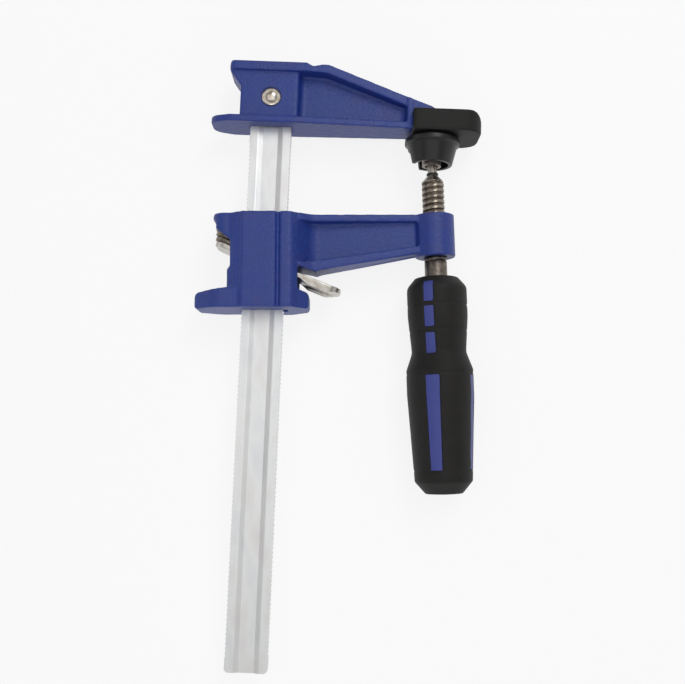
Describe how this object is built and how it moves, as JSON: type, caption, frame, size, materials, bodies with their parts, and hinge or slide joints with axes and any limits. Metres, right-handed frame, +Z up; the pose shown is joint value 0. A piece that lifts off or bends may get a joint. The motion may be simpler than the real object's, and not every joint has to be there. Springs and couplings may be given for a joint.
{
  "type": "quick release bar clamp",
  "caption": "Bar clamp with a riveted fixed jaw, a sliding jaw held by tilting clutch plates with a release lever, and a screw spindle with a swivel pad and a two-part handle.",
  "frame": {"origin": "centre of the fixed jaw's clamping face", "axes": "+X from the bar towards the spindle (the throat), +Y along the bar towards the fixed jaw, +Z up with the clamp lying on its side"},
  "size_m": [0.1251, 0.2675, 0.0296],
  "materials": {
    "plated_steel": "bright zinc plated, drawn",
    "painted_casting": "semi-gloss blue enamel over an iron casting",
    "rivet_steel": "pressed dome, lightly tarnished",
    "black_soft": "matt moulded",
    "black_hard": "satin moulded",
    "clutch_steel": "stamped, oiled",
    "lever_steel": "stamped, tumbled",
    "spring_steel": "wound wire",
    "spindle_steel": "rolled thread, dull plated",
    "black_ring": "dark ring",
    "socket_steel": "pressed collar",
    "blue_plastic": "moulded"
  },
  "bodies": {
    "frame": {"bar": "plated_steel", "fixed_jaw": "painted_casting", "head_rivet": "rivet_steel", "fixed_jaw_pad": "black_soft"},
    "slider": {"sliding_jaw": "painted_casting", "clutch_spring": "spring_steel"},
    "lever": {"release_lever": "lever_steel"},
    "plate_1": {"clutch_plate_1": "clutch_steel"},
    "plate_2": {"clutch_plate_2": "clutch_steel"},
    "plate_3": {"clutch_plate_3": "clutch_steel"},
    "screw_carrier": {"neck_ring": "black_ring"},
    "screw": {"spindle": "spindle_steel", "handle_core": "blue_plastic", "handle_grip": "black_soft"},
    "swivel_pad": {"swivel_socket": "socket_steel", "swivel_cap": "black_hard"}
  },
  "joints": [
    {"name": "jaw_slide", "type": "slide", "parent": "frame", "child": "slider", "axis": [0, -1, 0], "range_m": [0, 0.15]},
    {"name": "lever_squeeze", "type": "hinge", "parent": "slider", "child": "lever", "pos_m": [-0.0635, -0.0644, 0], "axis": [0, 0, 1], "range_deg": [0, 12], "stiffness_Nm_per_rad": 0.1, "springref_deg": -28.65, "deforming": ["clutch_spring"]},
    {"name": "plate_1_tilt", "type": "hinge", "parent": "slider", "child": "plate_1", "pos_m": [-0.0635, -0.06198, 0], "axis": [0, 0, 1], "range_deg": [0, 12]},
    {"name": "plate_2_tilt", "type": "hinge", "parent": "slider", "child": "plate_2", "pos_m": [-0.0635, -0.05973, 0], "axis": [0, 0, 1], "range_deg": [0, 12]},
    {"name": "plate_3_tilt", "type": "hinge", "parent": "slider", "child": "plate_3", "pos_m": [-0.0635, -0.05747, 0], "axis": [0, 0, 1], "range_deg": [0, 12]},
    {"name": "screw_travel", "type": "slide", "parent": "slider", "child": "screw_carrier", "axis": [0.0638, -0.998, 0], "range_m": [0, 0.0148]},
    {"name": "screw_turn", "type": "hinge", "parent": "screw_carrier", "child": "screw", "pos_m": [0.00109, -0.01697, 0], "axis": [0.0638, -0.998, 0], "range_deg": [0, 2100]},
    {"name": "pad_tilt", "type": "hinge", "parent": "screw_carrier", "child": "swivel_pad", "pos_m": [0.00057, -0.00898, 0], "axis": [0, 0, 1], "range_deg": [-3, 3]}
  ],
  "couplings": [
    {"joint": "plate_1_tilt", "follows": "lever_squeeze", "ratio": 1},
    {"joint": "plate_2_tilt", "follows": "lever_squeeze", "ratio": 1},
    {"joint": "plate_3_tilt", "follows": "lever_squeeze", "ratio": 1},
    {"joint": "screw_turn", "follows": "screw_travel", "rad_per_m": 2473.7}
  ]
}
